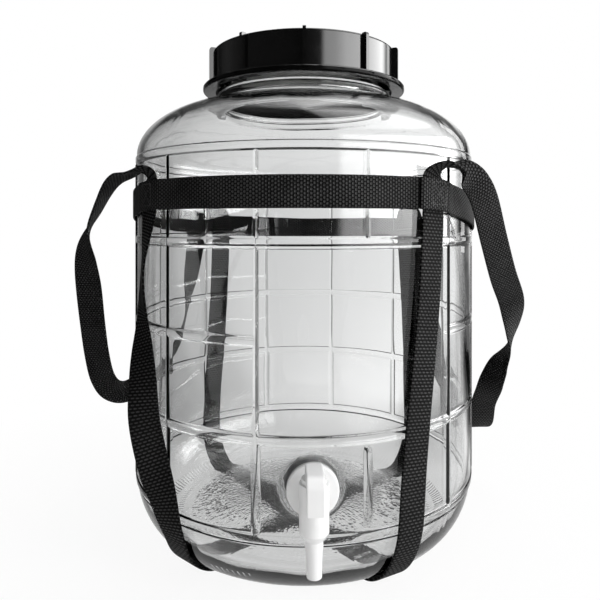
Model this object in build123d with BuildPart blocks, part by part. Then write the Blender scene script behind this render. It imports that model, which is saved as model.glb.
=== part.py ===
"""Wide-mouth glass carboy with a screw lid, a webbing carrying harness and a spigot.

Frame: +Z up, origin on the standing plane under the centre of the base, spigot towards -Y.
Azimuths are in degrees, seen from above, from the spigot (0) towards +X (90).
"""
from build123d import *
import os
from math import acos, asin, cos, degrees, hypot, radians, sin, sqrt

os.makedirs("parts", exist_ok=True)

# ---- Driving dimensions, in millimetres and degrees ----
# Glass jar; heights are above the jar's own standing ring
JAR_R = 130.0            # outside of the body
WALL = 4.0               # glass thickness of body and shoulder
RING_OUT = 96.0          # outer edge of the standing ring
RING_WIDTH = 8.0
PUSH_UP = 13.0           # rise of the underside at the centre
BASE_T = 7.0             # glass thickness at the base
HEEL_H = 48.0            # from the standing ring to the straight wall
SHOULDER_Z = 280.8       # top of the straight wall
SHOULDER_H = 43.2        # rise of the shoulder's full quarter ellipse
SHOULDER_RUN = 76.0      # its horizontal half axis
RIM_Z = 360.4
NECK_R = 67.0
NECK_WALL = 4.5
NECK_ROOT = 5.0          # fillet between shoulder and neck
BEAD_Z = 329.0           # round bead below the thread
BEAD_R = 3.4             # radius of its section
BEAD_PROUD = 2.6

# Raised grid moulded on the body
RIB_PROUD = 0.9
RIB_WIDTH = 7.0
BAR_PROUD = 0.7          # the upright ribs stand a little lower than the rings
RIB_RINGS = 5            # level ribs, evenly spaced
RIB_LOW_Z = 43.0         # lowest level rib
RIB_HIGH_Z = 277.0       # highest level rib
RIB_BARS = 12            # upright ribs, evenly spaced
FIRST_BAR = 15.0         # azimuth of the first upright rib
SHORT_BAR_GAP = 7.6      # from the level ribs to the short bar under the panel
PANEL_FROM = -15.0       # smooth front panel, between two upright ribs
PANEL_TO = 45.0

# Neck and lid thread
PITCH = 9.0
THREAD_PROUD = 2.5
THREAD_ROOT = 3.6        # axial width at the root
THREAD_CREST = 1.8
THREAD_TURNS = 1.25
THREAD_TOP = 5.0         # rim to the end of the thread
LID_THREAD_TURNS = 1.0

# Lid
LID_GAP = 3.5            # neck to the inside of the skirt
LID_T = 2.2              # skirt
LID_TOP_T = 2.5
LID_EDGE = 1.6           # rounded top edge
LID_THREAD_PROUD = 2.4
LID_H = 31.3             # overall height
FLANGE_OUT = 7.6         # flange beyond the skirt
FLANGE_T = 4.2
LID_RIBS = 10
LID_RIB_AT = -2.0        # azimuth of one rib
LID_RIB_T = 2.4
LID_RIB_PROUD = 3.6
LID_RIB_OVER = 0.7       # rise of a rib above the top edge
NOTCHES = 20
NOTCH_W = 5.2
NOTCH_H = 1.3
NOTCH_D = 1.1
SEAL_T = 2.0
SEAL_GAP = 3.0           # round the seal, inside the skirt

# Spigot
TAP_Z = 74.5             # height of its hole above the standing ring
SEAT_R = 17.5            # flat boss on the glass
SEAT_OUT = 0.6           # boss face outside the wall
SEAT_IN = 1.3            # boss face inside the wall
SHANK_R = 8.0
SHANK_GAP = 0.4          # hole in the glass round the shank
SHANK_BORE_R = 5.0
SHANK_IN = 18.0          # shank length inside the glass
WASHER_R = 15.5
WASHER_T = 2.0
WASHER_GAP = 0.1
TAP_FLANGE_R = 15.5
TAP_FLANGE_T = 2.6
LINK_R = 6.8             # short tube between flange and housing
HOUSING_R = 8.5
HOUSING_OUT = 11.4       # flange face to housing axis
HOUSING_UP = 10.3        # above the shank's axis
HOUSING_DOWN = 21.7      # below it, with the cone
HOUSING_CONE = 4.6       # height of the cone to the nozzle
NOZZLE_R = 5.2
NOZZLE_STEP = 0.35       # hose stop
NOZZLE_STEP_H = 5.0
NOZZLE_TIP_R = 4.35
NOZZLE_L = 20.7
NOZZLE_BORE_R = 3.2
PLUG_R = 5.6
PLUG_FIT = 0.08          # running clearance of the plug, all round
PLUG_DOWN = 12.0         # below the shank's axis
PLUG_HEAD_R = 7.2
PLUG_HEAD_T = 2.4
PLUG_LIFT = 0.3          # head above the housing
PORT_R = 3.0
LEVER_W = 10.4
LEVER_T = 6.6            # over the head
LEVER_REACH = 18.5       # plug axis to the lever's front face
LEVER_FRONT_T = 5.2      # thickness of the part that hangs down
LEVER_DROP = 20.5        # lever's top to its tip
LEVER_BACK = 6.0
LEVER_ROUND = 2.0
NUT_FLATS = 26.0
NUT_T = 7.0
NUT_GAP = 0.1

# Webbing
WEB_W = 20.0
WEB_T = 1.6
WEB_GAP = 0.3            # webbing to the ribs it passes over
WEB_FOLD_GAP = 0.1       # belt to the uprights it is sewn over
BELT_Z = 249.1           # belt's middle at the front, above the standing ring
BELT_DROP = 23.7         # how much lower it runs at the back
BELT_STEP = 5.0          # half width, in degrees, of the belt's raised stretch over an upright
BELT_RAMP = 4.5          # degrees that it takes to come back to the glass
TAB_L = 15.0             # sewn overlap of the belt's ends
CORNERS = (36.5, 129.0, -143.5, -53.5)   # azimuths where uprights meet the belt
RUN_1 = (25.5, 224.0)    # azimuths at which sling 1 crosses the standing ring, front and back
RUN_2 = (-41.5, 123.0)   # the same for sling 2
HOP_R = 38.0             # sling 2 rides over sling 1 inside this radius
HOP_RUN = 20.0
HANDLE_OUT = 40.0        # the handles' widest stand-off from the wall
HANDLE_DROP = 200.0      # the belt's middle to the handles' lowest fold

# ---- Derived places ----
base_z = WEB_T                       # the jar stands on the slings
heel_z = base_z + HEEL_H
shoulder_z = base_z + SHOULDER_Z
rim_z = base_z + RIM_Z
ring_in = RING_OUT - RING_WIDTH
shoulder_c = JAR_R - SHOULDER_RUN    # centre of the shoulder's ellipse
neck_bore = NECK_R - NECK_WALL
rib_step = (RIB_HIGH_Z - RIB_LOW_Z) / (RIB_RINGS - 1)
rib_levels = [base_z + RIB_LOW_Z + rib_step * i for i in range(RIB_RINGS)]
bar_arc = ((RIB_WIDTH / 2) ** 2 + BAR_PROUD ** 2) / (2 * BAR_PROUD)
lid_top = rim_z + SEAL_T + LID_TOP_T
lid_low = lid_top - LID_H
flange_top = lid_low + FLANGE_T
lid_bore = NECK_R + LID_GAP
lid_r = lid_bore + LID_T             # outside of the skirt
flange_r = lid_r + FLANGE_OUT
seal_r = lid_bore - SEAL_GAP
thread_z = rim_z - THREAD_TOP - THREAD_TURNS * PITCH
lid_thread_z = thread_z - PITCH / 2
web_r = JAR_R + RIB_PROUD + WEB_GAP  # inner face of the webbing on the wall
belt_r = hypot(web_r + WEB_T, WEB_W / 2) + WEB_FOLD_GAP   # the belt's inner face over an upright
belt_z = base_z + BELT_Z
tap_z = base_z + TAP_Z
seat_y = JAR_R + SEAT_OUT            # distances from the jar's axis towards the spigot
seat_in_y = JAR_R - WALL - SEAT_IN
flange_y = seat_y + WASHER_T
face_y = flange_y + TAP_FLANGE_T
plug_y = face_y + HOUSING_OUT
nut_y = seat_in_y - WASHER_T
housing_top = tap_z + HOUSING_UP
cone_low = tap_z - HOUSING_DOWN
plug_bore = PLUG_R + PLUG_FIT
plug_low = tap_z - PLUG_DOWN
head_z = housing_top + PLUG_LIFT
lever_low = head_z + PLUG_HEAD_T
lever_top = lever_low + LEVER_T


def polar(radius, azimuth, height=0.0):
    """A point from its distance to the jar's axis, azimuth and height."""
    return Vector(radius * sin(radians(azimuth)), -radius * cos(radians(azimuth)), height)


def dome_mid(half, rise, z):
    """The middle point of a shallow arc that starts level on the axis, rise above z."""
    radius = (half ** 2 + rise ** 2) / (2 * rise)
    return (half / 2, z + rise - radius + sqrt(radius ** 2 - (half / 2) ** 2))


def tube_y(radius, near, far, z=tap_z):
    """A cylinder along Y between two distances from the jar's axis, towards the spigot."""
    with BuildPart() as tube:
        with BuildSketch(Plane(origin=(0, -near, z), z_dir=(0, -1, 0))):
            Circle(radius)
        extrude(amount=far - near)
    return tube.part


def thread(radius, crest, start, turns):
    """One right-hand helical ridge from radius to crest, rooted 0.6 mm in the wall."""
    root = 0.6 if radius < crest else -0.6
    with BuildPart() as ridge:
        with BuildLine():
            path = Helix(PITCH, turns * PITCH, radius, center=(0, 0, start))
        with BuildSketch(Plane(origin=path @ 0, x_dir=(1, 0, 0), z_dir=path % 0)):
            with BuildLine():
                Polyline((-root, -THREAD_ROOT / 2), (crest - radius, -THREAD_CREST / 2),
                         (crest - radius, THREAD_CREST / 2), (-root, THREAD_ROOT / 2), close=True)
            make_face()
        sweep(path=path, is_frenet=True)
    return ridge.part


# ---- Glass jar ----
with BuildPart() as rib_grid:
    for level, z in enumerate(rib_levels):
        panel_row = level == RIB_RINGS // 2
        sweep_angle = 360 - (PANEL_TO - PANEL_FROM) if panel_row else 360
        with BuildSketch(Plane.XZ.rotated((0, 0, PANEL_TO - 90)) if panel_row else Plane.XZ):
            with BuildLine():
                ThreePointArc((JAR_R, z - RIB_WIDTH / 2), (JAR_R + RIB_PROUD, z),
                              (JAR_R, z + RIB_WIDTH / 2))
                Polyline((JAR_R, z + RIB_WIDTH / 2), (JAR_R - WALL / 4, z + RIB_WIDTH / 2),
                         (JAR_R - WALL / 4, z - RIB_WIDTH / 2), (JAR_R, z - RIB_WIDTH / 2))
            make_face()
        revolve(axis=Axis.Z, revolution_arc=sweep_angle)

with BuildPart() as bar_stock:
    for i in range(RIB_BARS):
        azimuth = FIRST_BAR + i * 360 / RIB_BARS
        spans = [(rib_levels[0], rib_levels[-1])]
        if PANEL_FROM < azimuth < PANEL_TO:
            spans = [(rib_levels[0] + SHORT_BAR_GAP + RIB_WIDTH / 2, rib_levels[1] - SHORT_BAR_GAP),
                     (rib_levels[-2], rib_levels[-1])]
        for low, high in spans:
            foot = polar(JAR_R + BAR_PROUD - bar_arc, azimuth, low)
            with BuildSketch(Plane(origin=foot)):
                Circle(bar_arc)
            extrude(amount=high - low)
            with Locations(foot, foot + Vector(0, 0, high - low)):
                Sphere(bar_arc)
    with BuildSketch(Plane.XY.offset(rib_levels[0] - bar_arc)):
        Circle(JAR_R + 2 * RIB_PROUD)
        Circle(JAR_R - WALL / 4, mode=Mode.SUBTRACT)
    extrude(amount=rib_levels[-1] - rib_levels[0] + 2 * bar_arc, mode=Mode.INTERSECT)

with BuildPart() as jar:
    with BuildSketch(Plane.XZ) as jar_section:
        with BuildLine():
            under = ThreePointArc((0, base_z + PUSH_UP), dome_mid(ring_in, PUSH_UP, base_z),
                                  (ring_in, base_z))
            Line(under @ 1, (RING_OUT, base_z))
            heel = EllipticalCenterArc((RING_OUT, heel_z), JAR_R - RING_OUT, HEEL_H, 270, arc_size=90)
            Line(heel @ 1, (JAR_R, shoulder_z))
            neck_foot = degrees(acos((NECK_R - shoulder_c) / SHOULDER_RUN))
            shoulder = EllipticalCenterArc((shoulder_c, shoulder_z), SHOULDER_RUN, SHOULDER_H,
                                           arc_size=neck_foot)
            Polyline(shoulder @ 1, (NECK_R, rim_z), (neck_bore, rim_z))
            bore_foot = degrees(acos((neck_bore - shoulder_c) / (SHOULDER_RUN - WALL)))
            inner_shoulder = EllipticalCenterArc((shoulder_c, shoulder_z), SHOULDER_RUN - WALL,
                                                 SHOULDER_H - WALL, arc_size=bore_foot)
            Line((neck_bore, rim_z), inner_shoulder @ 1)
            inner_heel = EllipticalCenterArc((RING_OUT, heel_z), JAR_R - WALL - RING_OUT,
                                             HEEL_H - BASE_T, 270, arc_size=90)
            Line(inner_shoulder @ 0, inner_heel @ 1)
            floor = ThreePointArc(inner_heel @ 0, dome_mid(RING_OUT, PUSH_UP, base_z + BASE_T),
                                  (0, base_z + BASE_T + PUSH_UP))
            Line(floor @ 1, under @ 0)
        make_face()
        neck_corner = jar_section.vertices().sort_by_distance((NECK_R, (shoulder @ 1).Y))[0]
        fillet(neck_corner, NECK_ROOT)
        fillet(jar_section.vertices().filter_by_position(Axis.Y, rim_z - 0.01, rim_z + 0.01),
               NECK_WALL / 3)
    revolve(axis=Axis.Z)
    with BuildSketch(Plane.XZ):
        with Locations((NECK_R + BEAD_PROUD - BEAD_R, base_z + BEAD_Z)):
            Circle(BEAD_R)
    revolve(axis=Axis.Z)
    add(rib_grid.part)
    add(bar_stock.part)
    add(tube_y(SEAT_R, seat_in_y, seat_y))
    add(tube_y(SHANK_R + SHANK_GAP, seat_in_y - 1, seat_y + 1), mode=Mode.SUBTRACT)
    add(thread(NECK_R, NECK_R + THREAD_PROUD, thread_z, THREAD_TURNS))
jar.part.label = "jar"
export_step(jar.part, "parts/jar.step")

# ---- Screw lid: skirt, top and flange in one moulding ----
with BuildPart() as lid_rib:
    with BuildSketch(Plane.XZ):
        with BuildLine():
            rib_out = lid_r + LID_RIB_PROUD
            rib_top = lid_top + LID_RIB_OVER
            Polyline((lid_r - LID_T / 2, flange_top - FLANGE_T / 2),
                     (rib_out, flange_top - FLANGE_T / 2), (rib_out, rib_top - LID_RIB_PROUD / 2))
            JernArc((rib_out, rib_top - LID_RIB_PROUD / 2), (0, 1), LID_RIB_PROUD / 2, 90)
            Polyline((rib_out - LID_RIB_PROUD / 2, rib_top), (lid_r - LID_T / 2, rib_top),
                     (lid_r - LID_T / 2, flange_top - FLANGE_T / 2))
        make_face()
    extrude(amount=LID_RIB_T / 2, both=True)

with BuildPart() as notch_ring:
    with PolarLocations(flange_r, NOTCHES, start_angle=LID_RIB_AT - 90):
        with Locations((0, 0, lid_low + FLANGE_T * 0.55)):
            Box(2 * NOTCH_D, NOTCH_W, NOTCH_H)

with BuildPart() as lid:
    with BuildSketch(Plane.XZ):
        Polygon((0, lid_top), (lid_r, lid_top), (lid_r, flange_top), (flange_r, flange_top),
                (flange_r, lid_low), (lid_bore, lid_low), (lid_bore, lid_top - LID_TOP_T),
                (0, lid_top - LID_TOP_T), align=None)
    revolve(axis=Axis.Z)
    circles = lid.edges().filter_by(GeomType.CIRCLE)
    fillet(circles.filter_by(lambda e: abs(e.radius - lid_r) < 0.01).sort_by(Axis.Z)[-1], LID_EDGE)
    fillet(circles.filter_by(lambda e: abs(e.radius - flange_r) < 0.01), FLANGE_T / 3)
    for i in range(LID_RIBS):
        add(lid_rib.part.rotate(Axis.Z, LID_RIB_AT - 90 + i * 360 / LID_RIBS))
    add(notch_ring.part, mode=Mode.SUBTRACT)
    add(thread(lid_bore, lid_bore - LID_THREAD_PROUD, lid_thread_z, LID_THREAD_TURNS))
lid.part.label = "lid"
export_step(lid.part, "parts/lid.step")

with BuildPart() as lid_seal:
    with BuildSketch(Plane.XY.offset(rim_z)):
        Circle(seal_r)
    extrude(amount=SEAL_T)
lid_seal.part.label = "lid_seal"
export_step(lid_seal.part, "parts/lid_seal.step")

# ---- Spigot ----
def on_plug_axis(z):
    """A level plane on the plug's axis."""
    return Plane(origin=(0, -plug_y, z))


with BuildPart() as tap_body:
    add(tube_y(TAP_FLANGE_R, flange_y, face_y))
    fillet(tap_body.edges().group_by(Axis.Y)[0], TAP_FLANGE_T / 3)
    add(tube_y(SHANK_R, nut_y - SHANK_IN, flange_y))
    add(tube_y(LINK_R, face_y, plug_y))
    with BuildSketch(Plane.YZ):
        with BuildLine():
            axis_y = -plug_y
            stop_z = cone_low - NOZZLE_STEP_H
            Polyline((axis_y, housing_top), (axis_y - HOUSING_R, housing_top),
                     (axis_y - HOUSING_R, cone_low + HOUSING_CONE), (axis_y - NOZZLE_R, cone_low),
                     (axis_y - NOZZLE_R, stop_z), (axis_y - NOZZLE_R + NOZZLE_STEP, stop_z),
                     (axis_y - NOZZLE_TIP_R, cone_low - NOZZLE_L), (axis_y, cone_low - NOZZLE_L),
                     close=True)
        make_face()
    revolve(axis=Axis((0, -plug_y, 0), (0, 0, 1)))
    add(tube_y(SHANK_BORE_R, nut_y - SHANK_IN - 1, flange_y), mode=Mode.SUBTRACT)
    add(tube_y(PORT_R, flange_y - 1, plug_y), mode=Mode.SUBTRACT)
    with BuildSketch(on_plug_axis(tap_z - PLUG_DOWN - PLUG_LIFT)):
        Circle(plug_bore)
    extrude(amount=HOUSING_UP + PLUG_DOWN + 1, mode=Mode.SUBTRACT)
    with BuildSketch(on_plug_axis(cone_low - NOZZLE_L - 1)):
        Circle(NOZZLE_BORE_R)
    extrude(amount=HOUSING_DOWN + NOZZLE_L, mode=Mode.SUBTRACT)
tap_body.part.label = "tap_body"
export_step(tap_body.part, "parts/tap_body.step")

with BuildPart() as lever:
    with BuildSketch(Plane.YZ) as lever_side:
        front = -plug_y - LEVER_REACH
        back = -plug_y + LEVER_BACK
        tip_z = lever_top - LEVER_DROP
        drop_back = front + LEVER_FRONT_T
        Polygon((back, lever_low), (back, lever_top), (front, lever_top), (front + LEVER_ROUND / 2, tip_z),
                (drop_back, tip_z), (drop_back, lever_low), align=None)
        for corner, radius in (((front, lever_top), LEVER_T), ((back, lever_top), LEVER_T / 2),
                               ((drop_back, lever_low), LEVER_T / 2)):
            fillet(lever_side.vertices().sort_by_distance(corner)[0], radius)
    extrude(amount=LEVER_W / 2, both=True)
    fillet(lever.faces().filter_by(Axis.X).edges(), LEVER_ROUND * 0.6)

with BuildPart() as tap_plug:
    with BuildSketch(on_plug_axis(plug_low)):
        Circle(PLUG_R)
    extrude(amount=head_z - plug_low)
    with BuildSketch(on_plug_axis(head_z)):
        Circle(PLUG_HEAD_R)
    extrude(amount=PLUG_HEAD_T)
    add(lever.part)
    with BuildSketch(on_plug_axis(plug_low)):
        Circle(NOZZLE_BORE_R)
    extrude(amount=PLUG_DOWN, mode=Mode.SUBTRACT)
    with BuildSketch(Plane(origin=(0, -plug_y, tap_z), z_dir=(1, 0, 0))):
        Circle(PORT_R)
    extrude(amount=PLUG_R + 1, mode=Mode.SUBTRACT)
tap_plug.part.label = "tap_plug"
export_step(tap_plug.part, "parts/tap_plug.step")

with BuildPart() as tap_outer_washer:
    add(tube_y(WASHER_R, seat_y, flange_y))
    add(tube_y(SHANK_R + WASHER_GAP, seat_y, flange_y), mode=Mode.SUBTRACT)
tap_outer_washer.part.label = "tap_outer_washer"
export_step(tap_outer_washer.part, "parts/tap_outer_washer.step")

with BuildPart() as tap_inner_washer:
    add(tube_y(WASHER_R, nut_y, seat_in_y))
    add(tube_y(SHANK_R + WASHER_GAP, nut_y, seat_in_y), mode=Mode.SUBTRACT)
tap_inner_washer.part.label = "tap_inner_washer"
export_step(tap_inner_washer.part, "parts/tap_inner_washer.step")

with BuildPart() as tap_nut:
    with BuildSketch(Plane(origin=(0, -nut_y + NUT_T, tap_z), x_dir=(1, 0, 0), z_dir=(0, -1, 0))):
        RegularPolygon(NUT_FLATS / 2, 6, major_radius=False)
        Circle(SHANK_R + NUT_GAP, mode=Mode.SUBTRACT)
    extrude(amount=NUT_T)
    chamfer(tap_nut.faces().sort_by(Axis.Y)[-1].outer_wire().edges(), NUT_T / 8)
tap_nut.part.label = "tap_nut"
export_step(tap_nut.part, "parts/tap_nut.step")


# ---- Webbing harness ----
def sling_shell(hop):
    """The jar's outside as a skin of webbing, down the wall, round the heel and under the base.

    hop is how far the skin rides up inside HOP_R, over the webbing that crosses below it.
    """
    gap = web_r - JAR_R
    heel_c = RING_OUT + gap
    run = JAR_R - RING_OUT
    with BuildPart() as shell:
        with BuildSketch(Plane.XZ):
            with BuildLine():
                upper = [(0, base_z + hop), (HOP_R, base_z + hop), (HOP_R + HOP_RUN, base_z)]
                lower = [(r, z - WEB_T) for r, z in upper]
                Polyline(*upper, (heel_c, base_z))
                inside = EllipticalCenterArc((heel_c, heel_z), run, HEEL_H, 270, arc_size=90)
                Polyline(inside @ 1, (web_r, belt_z), (web_r + WEB_T, belt_z), (web_r + WEB_T, heel_z))
                outside = EllipticalCenterArc((heel_c, heel_z), run + WEB_T, HEEL_H + WEB_T,
                                              270, arc_size=90)
                Polyline(outside @ 0, *reversed(lower))
                Line(lower[0], upper[0])
            make_face()
        revolve(axis=Axis.Z)
    return shell.part


def upright_outline(places):
    """The outline of one upright seen along Y, from (azimuth, height) places, bottom to top."""
    half = degrees(asin(WEB_W / 2 / web_r))
    left = [(web_r * sin(radians(a - half)), z) for a, z in places]
    right = [(web_r * sin(radians(a + half)), z) for a, z in places]
    with BuildSketch(Plane.XZ) as outline:
        with BuildLine():
            Spline(*left)
            Spline(*right)
            Line(left[0], right[0])
            Line(left[-1], right[-1])
        make_face()
    return outline.sketch


def sling(front_places, back_places, run, hop):
    """One sling: up the front, straight under the base and up the back, cut from the shell."""
    reach = 2 * JAR_R
    front, back = (polar(RING_OUT, azimuth, base_z - 2 * WEB_T) for azimuth in run)
    with BuildPart() as keep:
        with BuildSketch(Plane(origin=(front + back) / 2, x_dir=(back - front).cross(Vector(0, 0, 1)),
                               z_dir=(0, 0, 1))):
            Rectangle(WEB_W, 2 * reach)
        extrude(amount=heel_z - base_z + 2 * WEB_T)
        extrude(upright_outline(front_places), amount=reach)
        extrude(upright_outline(back_places), amount=-reach)
    with BuildPart() as strap:
        add(sling_shell(hop))
        add(keep.part, mode=Mode.INTERSECT)
    return strap.part


def up(share):
    """A height between the heel and the belt, as a share of the way up."""
    return heel_z + share * (belt_z - heel_z)


front_right, back_right, back_left, front_left = CORNERS
back_top = belt_z - BELT_DROP
with BuildPart() as sling_1:
    add(sling([(28, up(0)), (29, up(0.15)), (30.7, up(0.32)), (32.8, up(0.5)), (34.8, up(0.7)),
               (front_right, up(1))],
              [(221.5, up(0)), (219.5, up(0.3)), (217.5, up(0.6)), (back_left + 360, back_top)],
              RUN_1, 0))
sling_1.part.label = "sling_1"
export_step(sling_1.part, "parts/sling_1.step")

with BuildPart() as sling_2:
    add(sling([(-43.6, up(0)), (-49.5, up(0.13)), (-55, up(0.27)), (-58.5, up(0.45)), (-57.5, up(0.65)),
               (front_left, up(1))],
              [(125, up(0)), (125.7, up(0.3)), (127.2, up(0.6)), (back_right, back_top)],
              RUN_2, WEB_T))
sling_2.part.label = "sling_2"
export_step(sling_2.part, "parts/sling_2.step")


def belt_inner(azimuth):
    """Distance of the belt's inner face from the jar's axis: raised where it covers an upright."""
    off = min(abs((azimuth - corner + 180) % 360 - 180) for corner in CORNERS)
    share = min(max((off - BELT_STEP) / BELT_RAMP, 0), 1)
    return belt_r + (web_r - belt_r) * share ** 2 * (3 - 2 * share)


def belt_side(places):
    """The belt's outline seen along X, from (distance along Y, rise) places, front to back."""
    with BuildSketch(Plane.YZ) as outline:
        with BuildLine():
            low = Spline(*[(y, belt_z + rise - WEB_W / 2) for y, rise in places])
            high = Spline(*[(y, belt_z + rise + WEB_W / 2) for y, rise in places])
            Line(low @ 0, high @ 0)
            Line(low @ 1, high @ 1)
        make_face()
    return outline.sketch


belt_reach = belt_r + 3 * WEB_T
with BuildPart() as belt_keep:
    extrude(belt_side([(-belt_reach, 0), (-0.81 * JAR_R, 0), (-0.31 * JAR_R, -0.53 * BELT_DROP),
                       (0.15 * JAR_R, -0.83 * BELT_DROP), (0.6 * JAR_R, -BELT_DROP),
                       (belt_reach, -BELT_DROP)]), amount=belt_reach)
    extrude(belt_side([(-belt_reach, 0), (-0.6 * JAR_R, 0), (-0.24 * JAR_R, -0.2 * BELT_DROP),
                       (0.31 * JAR_R, -0.6 * BELT_DROP), (0.81 * JAR_R, -0.87 * BELT_DROP),
                       (belt_reach, -BELT_DROP)]), amount=-belt_reach)

with BuildPart() as belt:
    with BuildSketch(Plane.XY.offset(belt_z - BELT_DROP - WEB_W)):
        for grow, mode in ((WEB_T, Mode.ADD), (0, Mode.SUBTRACT)):
            with BuildLine():
                Spline(*[polar(belt_inner(a) + grow, a) for a in range(0, 360, 3)], periodic=True)
            make_face(mode=mode)
    extrude(amount=BELT_DROP + 2 * WEB_W)
    with BuildSketch(Plane.XZ.rotated((0, 0, CORNERS[0] - 90 - degrees(TAB_L / 2 / belt_r)))):
        with Locations((belt_r + 1.5 * WEB_T, belt_z)):
            Rectangle(WEB_T, WEB_W)
    revolve(axis=Axis.Z, revolution_arc=degrees(TAB_L / belt_r))
    add(belt_keep.part, mode=Mode.INTERSECT)
belt.part.label = "belt"
export_step(belt.part, "parts/belt.step")


def ribbon(places, sections):
    """A strip of webbing through (azimuth, standoff, rise, width direction) places.

    standoff is from the wall of the jar, as a share of HANDLE_OUT, and rise is from the belt's
    middle at the front, as a share of HANDLE_DROP. The strip runs straight up from its first
    place to the second, and straight down to its last.
    """
    points = [polar(JAR_R + standoff * HANDLE_OUT, azimuth, belt_z + rise * HANDLE_DROP)
              for azimuth, standoff, rise, _ in places]
    free = points[1:-1]
    path = Spline(*free, tangents=[(0, 0, 1), (0, 0, -1)], tangent_scalars=(1, 1))
    marks = [0.0]
    for a, b in zip(free, free[1:]):
        marks.append(marks[-1] + (b - a).length)
    with BuildPart() as strip:
        with BuildSketch(Plane(origin=points[0], x_dir=places[0][3], z_dir=(0, 0, 1))):
            Rectangle(WEB_W, WEB_T)
        for i in range(sections + 1):
            along = i / sections * marks[-1]
            leg = max(k for k in range(len(marks) - 1) if marks[k] <= along)
            share = (along - marks[leg]) / (marks[leg + 1] - marks[leg])
            across = Vector(places[leg + 1][3]) * (1 - share) + Vector(places[leg + 2][3]) * share
            heading = path % (i / sections)
            with BuildSketch(Plane(origin=path @ (i / sections), z_dir=heading,
                                   x_dir=across - heading * across.dot(heading))):
                Rectangle(WEB_W, WEB_T)
        with BuildSketch(Plane(origin=points[-1], x_dir=places[-1][3], z_dir=(0, 0, -1))):
            Rectangle(WEB_W, WEB_T)
        loft(ruled=True)
    return strip.part


def level(azimuth):
    """The level direction along the wall at an azimuth, towards larger azimuths."""
    return (cos(radians(azimuth)), sin(radians(azimuth)), 0)


sewn = (web_r + WEB_T / 2 - JAR_R) / HANDLE_OUT     # standoff of webbing that lies on the wall
edge = WEB_GAP / HANDLE_DROP                        # a handle's end over the end of its upright
clear = (WEB_W / 2 + 1) / HANDLE_DROP               # just past the belt's edge
back_edge = edge - BELT_DROP / HANDLE_DROP
back_clear = clear - BELT_DROP / HANDLE_DROP
with BuildPart() as handle_right:
    add(ribbon([
        (front_right, sewn, edge, level(front_right)), (front_right, sewn, clear, level(front_right)),
        (38.5, sewn + 0.1, 0.083, (0.55, 0.8, 0)), (43, 0.25, 0.085, (-0.1, 0.97, 0.1)),
        (48, 0.362, 0.05, (0.35, 0.75, 0.5)), (53, 0.425, -0.02, (0.7, 0.35, 0.55)),
        (61.7, 0.45, -0.15, (0.9, 0.1, 0.35)), (70.6, 0.575, -0.285, (0.97, 0.05, 0.2)),
        (79.5, 0.8, -0.4, (1, 0.1, 0.1)), (84, 0.9, -0.51, (0.73, 0.68, 0)),
        (87, 0.9, -0.595, (0.24, 0.97, 0)), (89, 0.738, -0.67, (-0.4, 0.9, 0)),
        (91, 0.662, -0.73, (-0.65, 0.76, 0)), (93.5, 0.625, -0.795, (-0.9, 0.4, 0)),
        (97, 0.625, -0.865, (-0.95, 0.3, 0)), (101, 0.725, -0.965, (-1, 0, 0)),
        (105, 0.725, -0.99, (-1, 0, 0)), (109, 0.65, -0.94, (-1, 0.1, 0)),
        (112, 0.575, -0.84, (-1, 0.1, 0)), (116.5, 0.475, -0.715, (-0.95, 0.3, 0)),
        (121, 0.4, -0.56, (-0.9, 0.45, 0)), (124.5, 0.35, -0.375, (-0.75, 0.65, 0)),
        (126.5, 0.35, -0.19, (-0.65, 0.75, 0)), (127.5, 0.312, -0.07, (-0.65, 0.75, 0)),
        (128.5, sewn + 0.12, back_clear + 0.04, level(back_right)),
        (back_right, sewn, back_clear, level(back_right)),
        (back_right, sewn, back_edge, level(back_right))], 60))
handle_right.part.label = "handle_right"
export_step(handle_right.part, "parts/handle_right.step")

with BuildPart() as handle_left:
    add(ribbon([
        (front_left, sewn, edge, level(front_left)), (front_left, sewn, clear, level(front_left)),
        (-55, sewn + 0.062, 0.075, (0.5, -0.85, 0)), (-58, 0.225, 0.08, (0.15, -0.97, -0.1)),
        (-63, 0.325, 0.07, (0, -0.95, 0.3)), (-68.5, 0.463, 0.04, (0, -0.93, 0.36)),
        (-73, 0.6, -0.01, (0, -0.96, 0.25)), (-77.5, 0.775, -0.085, (0.1, -1, 0)),
        (-80.5, 0.9, -0.15, (0.5, -0.8, 0)), (-83.7, 0.975, -0.235, (0.85, -0.4, 0)),
        (-87.1, 0.975, -0.355, (1, 0, 0)), (-90.5, 0.975, -0.5, (1, 0, 0)),
        (-93.9, 0.975, -0.635, (1, 0, 0.1)), (-97.2, 0.95, -0.74, (0.9, 0, 0.4)),
        (-101, 0.85, -0.805, (0.6, 0.1, 0.75)), (-107, 0.7, -0.825, (0.2, 0.2, 0.95)),
        (-116, 0.55, -0.775, (0.5, 0.1, 0.8)), (-124, 0.412, -0.675, (0.75, 0, 0.6)),
        (-128.5, 0.35, -0.525, (0.85, 0.1, 0.3)), (-131.5, 0.325, -0.3, (0.9, 0.3, 0)),
        (-135, 0.325, -0.09, (0.87, 0.4, 0)), (-139, 0.275, -0.03, level(back_left)),
        (-142, 0.175, -0.022, level(back_left)), (back_left, sewn, back_clear, level(back_left)),
        (back_left, sewn, back_edge, level(back_left))], 60))
handle_left.part.label = "handle_left"
export_step(handle_left.part, "parts/handle_left.step")
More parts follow.
